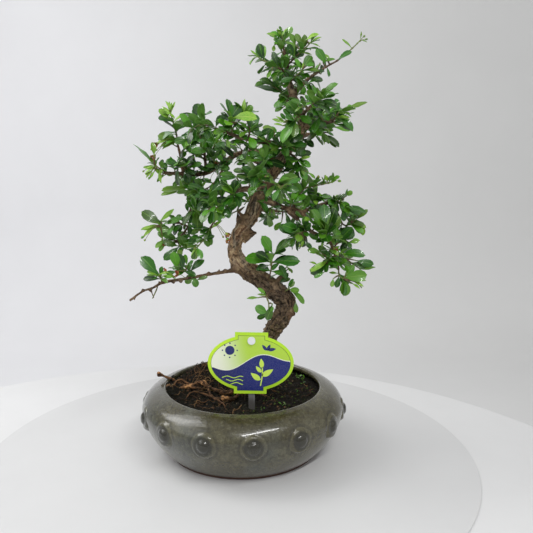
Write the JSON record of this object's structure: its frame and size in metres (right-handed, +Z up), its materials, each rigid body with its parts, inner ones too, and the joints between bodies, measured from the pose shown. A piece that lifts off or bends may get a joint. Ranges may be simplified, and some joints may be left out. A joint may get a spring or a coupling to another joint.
{
  "type": "fukien tea bonsai in a pot",
  "caption": "Small-leaved evergreen bonsai with a curved trunk, surface roots and leafy twigs, in a round glazed pot with a studded shoulder, with a plant label on a stake.",
  "frame": {"origin": "middle of the pot's foot, on the surface it stands on", "axes": "+Z up; -Y towards the front of the plant, where the label faces; +X to the right as seen from the front"},
  "size_m": [0.2448, 0.2088, 0.4127],
  "materials": {
    "glaze": "glossy grey-green glaze with fine mottling",
    "soil": "loose dark potting mix",
    "bark": "rough fissured bark",
    "foliage": "leathery, half gloss",
    "label": "printed plastic sheet",
    "stake": "translucent grey plastic",
    "screen": "matt black plastic"
  },
  "bodies": {
    "root": {"drain_screen_left": "screen", "drain_screen_right": "screen", "label": "label", "label_stake": "stake", "pot": "glaze", "soil": "soil", "trunk": "bark", "spray_back_inner_low": "foliage", "spray_back_left_high": "foliage", "spray_back_low_end": "foliage", "spray_back_right_end": "foliage", "spray_back_top_end": "foliage", "spray_centre_high": "foliage", "spray_centre_low": "foliage", "spray_far_left": "foliage", "spray_fork_end": "foliage", "spray_fork_rise": "foliage", "spray_fork_tip": "foliage", "spray_front_low": "foliage", "spray_front_mid": "foliage", "spray_front_top_left": "foliage", "spray_front_top_right": "foliage", "spray_left_curtain": "foliage", "spray_left_low": "foliage", "spray_left_low_front": "foliage", "spray_left_mid_dark": "foliage", "spray_left_mid_rise": "foliage", "spray_left_mid_tip": "foliage", "spray_left_outer": "foliage", "spray_left_rosette": "foliage", "spray_left_shoot": "foliage", "spray_left_tail": "foliage", "spray_left_under": "foliage", "spray_low_left_end": "foliage", "spray_low_left_tall": "foliage", "spray_mid_bunch": "foliage", "spray_mid_riser_top": "foliage", "spray_mid_shoot": "foliage", "spray_right_fan": "foliage", "spray_right_fan_inner": "foliage", "spray_right_low_end": "foliage", "spray_right_low_left": "foliage", "spray_right_low_right": "foliage", "spray_right_riser_top": "foliage", "spray_right_side": "foliage", "spray_right_tip": "foliage", "spray_top_far": "foliage", "spray_top_left": "foliage", "spray_top_mid": "foliage", "spray_top_right": "foliage", "spray_top_right_end": "foliage", "spray_top_right_front": "foliage", "spray_top_right_under": "foliage", "spray_top_shoot": "foliage", "spray_trunk_down": "foliage", "spray_trunk_left": "foliage", "spray_trunk_side": "foliage", "spray_upper_inner": "foliage", "spray_upper_left": "foliage", "spray_upper_mid": "foliage"}
  },
  "joints": []
}
